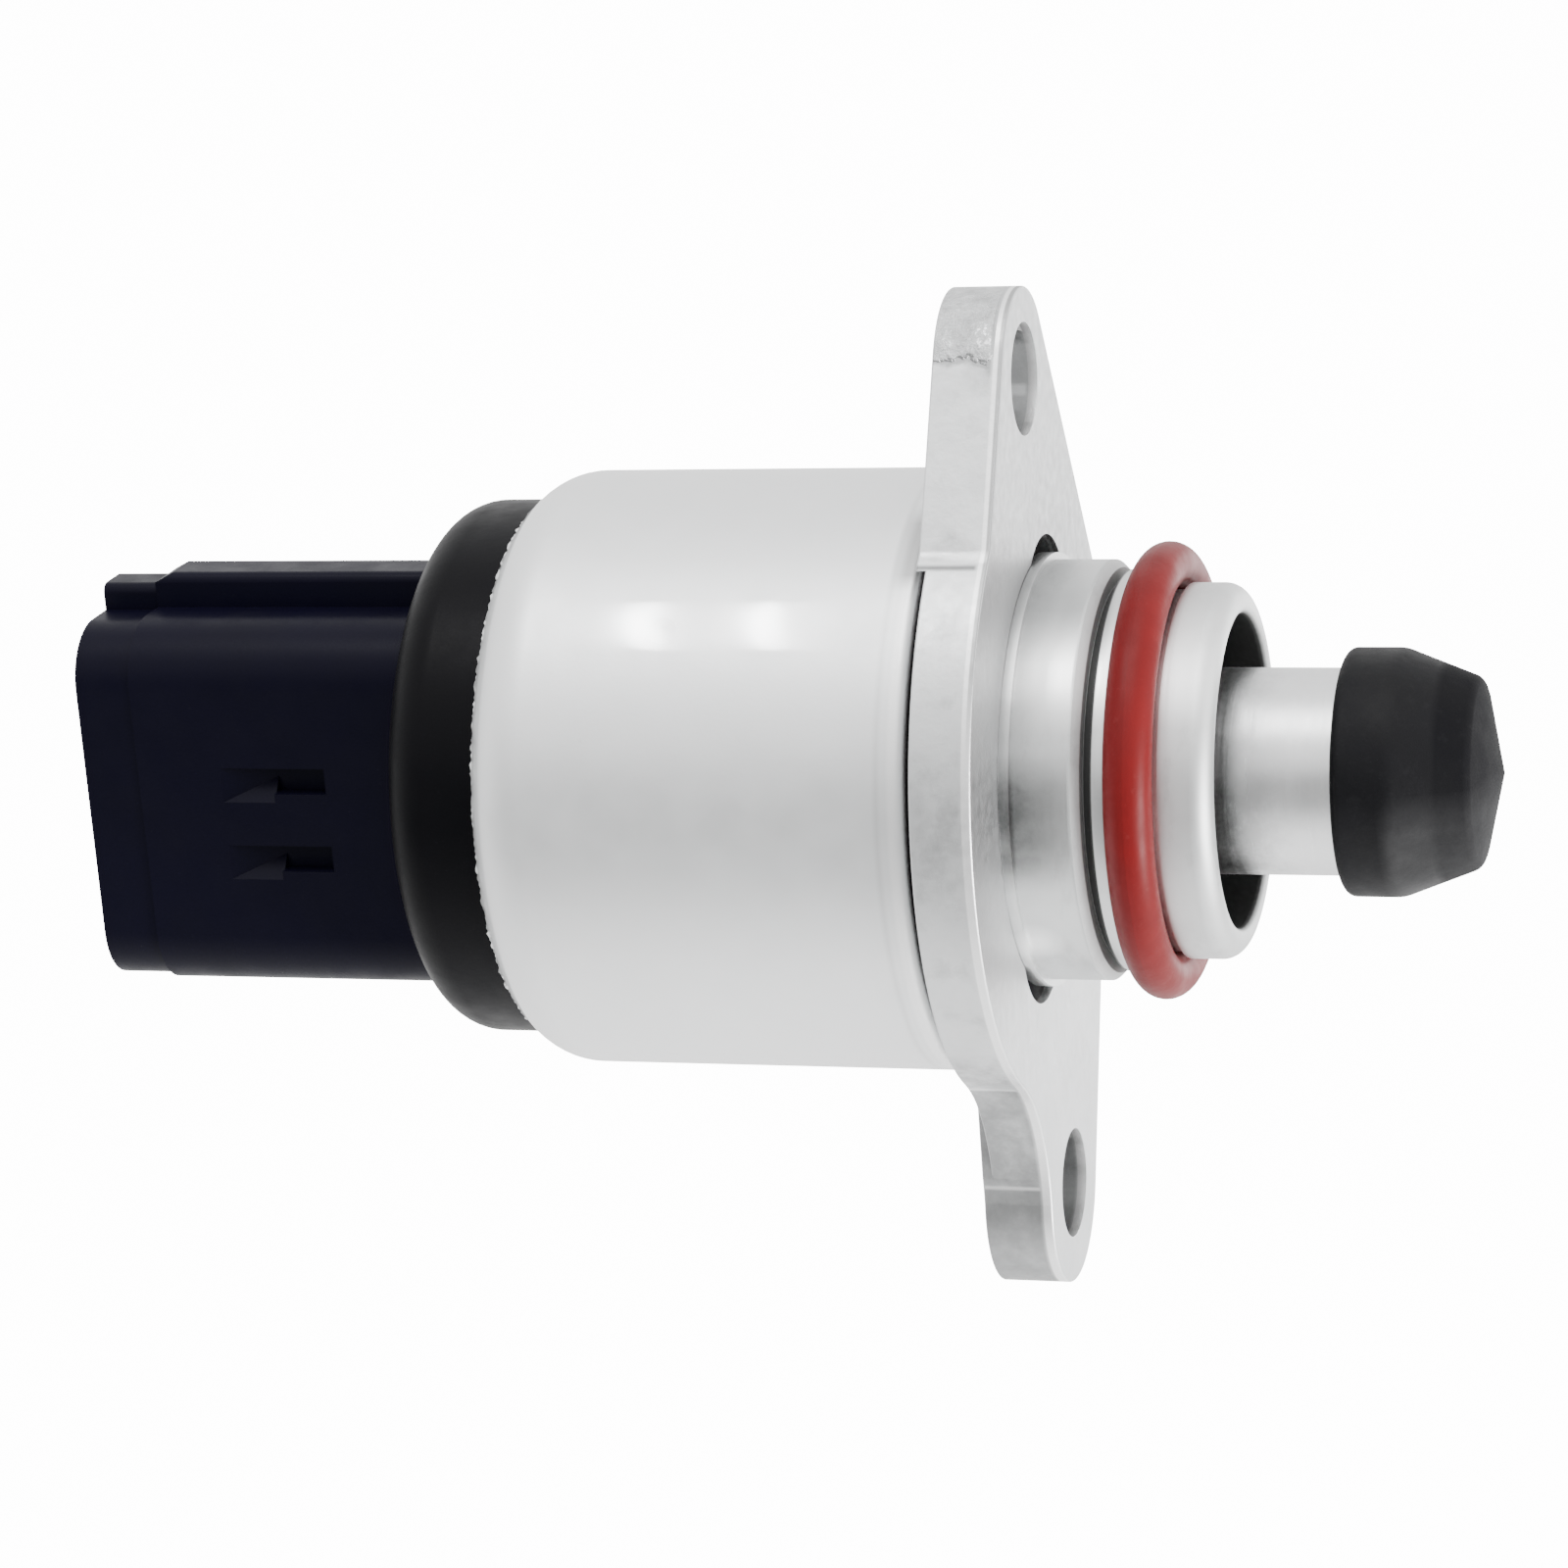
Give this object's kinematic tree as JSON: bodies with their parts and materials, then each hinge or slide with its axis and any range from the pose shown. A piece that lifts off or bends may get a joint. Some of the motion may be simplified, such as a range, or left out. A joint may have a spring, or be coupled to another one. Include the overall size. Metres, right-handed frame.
{
  "type": "idle air control valve",
  "caption": "Linear stepper valve with an oval two-bolt flange, a round metal can, a moulded plug socket and a screw-driven rubber-headed pintle behind an O-ring nose.",
  "frame": {"origin": "on the valve axis, in the flange's mating face", "axes": "+X along the valve axis, out of the nose towards the pintle's point; +Z along the line of the bolt holes, towards the nearer hole; Y across"},
  "size_m": [0.0716, 0.0324, 0.0513],
  "materials": {
    "flange_metal": "satin, lightly pitted",
    "can_steel": "satin plated",
    "collar_metal": "fine turned",
    "black_rubber": "matte",
    "red_rubber": "slight sheen",
    "bush_plastic": "matte",
    "bearing_steel": "polished",
    "bronze": "satin",
    "nut_plastic": "matte",
    "ferrite": "matte",
    "stator_steel": "satin",
    "bobbin_plastic": "matte",
    "copper_wire": "enamelled",
    "connector_plastic": "satin",
    "tinned_brass": "satin",
    "screw_steel": "oiled",
    "stem_metal": "bright turned",
    "head_rubber": "satin"
  },
  "bodies": {
    "housing": {"flange_plate": "flange_metal", "can_shell": "can_steel", "can_gasket": "black_rubber", "nose_collar": "collar_metal", "o_ring": "red_rubber", "guide_bush": "bush_plastic", "front_spring_washer": "bearing_steel", "front_bearing_outer_race": "bearing_steel", "front_bearing_balls": "bearing_steel", "front_bearing_cage": "bronze", "thrust_washer": "bronze", "rear_bearing_bush": "bronze", "stator_cup_front": "stator_steel", "stator_plate_front": "stator_steel", "bobbin_front": "bobbin_plastic", "coil_front": "copper_wire", "stator_cup_rear": "stator_steel", "stator_plate_rear": "stator_steel", "bobbin_rear": "bobbin_plastic", "coil_rear": "copper_wire", "connector_housing": "connector_plastic", "rear_seal_ring": "black_rubber", "terminal_pin_1": "tinned_brass", "terminal_pin_2": "tinned_brass", "terminal_pin_3": "tinned_brass", "terminal_pin_4": "tinned_brass"},
    "rotor": {"front_bearing_inner_race": "bearing_steel", "rotor_nut": "nut_plastic", "rotor_magnet": "ferrite"},
    "pintle": {"lead_screw": "screw_steel", "pintle_stem": "stem_metal", "pintle_head": "head_rubber"}
  },
  "joints": [
    {"name": "rotor_spin", "type": "hinge", "parent": "housing", "child": "rotor", "pos_m": [-0.0155, 0, 0], "axis": [1, 0, 0], "range_deg": [0, 2520]},
    {"name": "pintle_slide", "type": "slide", "parent": "housing", "child": "pintle", "axis": [1, 0, 0], "range_m": [-0.007, 0]}
  ],
  "couplings": [
    {"joint": "rotor_spin", "follows": "pintle_slide", "rad_per_m": -6283.2}
  ]
}
